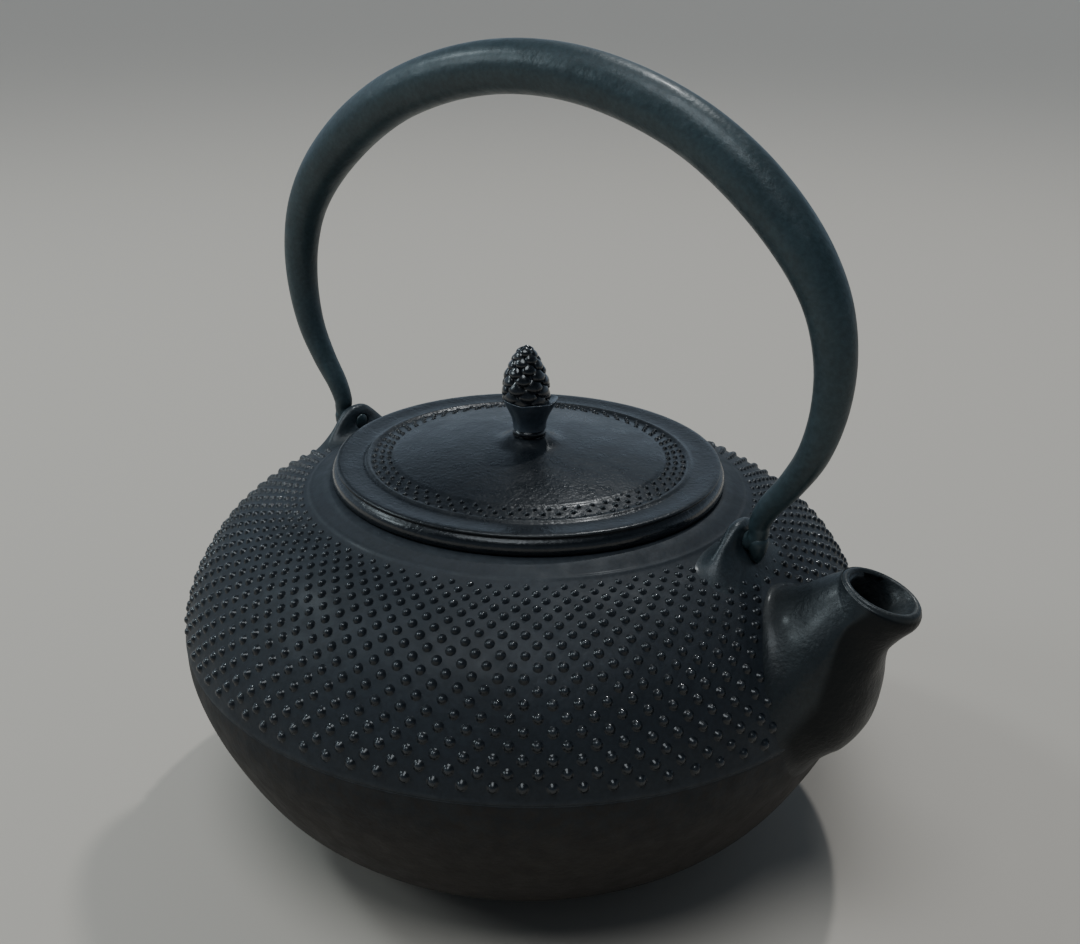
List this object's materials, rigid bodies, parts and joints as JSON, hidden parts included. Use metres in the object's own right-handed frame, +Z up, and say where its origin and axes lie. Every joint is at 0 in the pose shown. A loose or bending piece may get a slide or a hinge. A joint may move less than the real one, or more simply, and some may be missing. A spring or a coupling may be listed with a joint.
{
  "type": "cast iron kettle",
  "caption": "Round flattened cast iron kettle with a short open spout, a lift-off lid with a pine cone knob and a swinging bail handle.",
  "frame": {"origin": "centre of the flat base, on the surface the kettle stands on", "axes": "+Z up, +X towards the spout; the ears stand at +X and -X and the handle swings about X, towards +Y and -Y"},
  "size_m": [0.2034, 0.186, 0.2059],
  "materials": {
    "body_iron": "satin black, fine cast grain",
    "spout_iron": "satin black",
    "handle_iron": "satin black, slightly blue-green",
    "lid_iron": "grainy satin dark grey",
    "knob_iron": "glossy black",
    "rivet_steel": "dark oxidised"
  },
  "bodies": {
    "vessel": {"kettle_body": "body_iron", "spout": "spout_iron", "front_ear": "body_iron", "rear_ear": "body_iron"},
    "handle": {"handle": "handle_iron"},
    "lid": {"lid": "lid_iron", "seat_washer": "knob_iron", "under_washer": "rivet_steel"},
    "knob": {"knob": "knob_iron", "knob_rivet": "rivet_steel"}
  },
  "joints": [
    {"name": "handle_swing", "type": "hinge", "parent": "vessel", "child": "handle", "pos_m": [0, 0, 0.0952], "axis": [1, 0, 0], "range_deg": [-106, 106]},
    {"name": "lid_lift", "type": "slide", "parent": "vessel", "child": "lid", "axis": [0, 0, 1], "range_m": [0, 0.03]},
    {"name": "knob_turn", "type": "hinge", "parent": "lid", "child": "knob", "pos_m": [0, 0, 0.107], "axis": [0, 0, 1], "continuous": true}
  ]
}
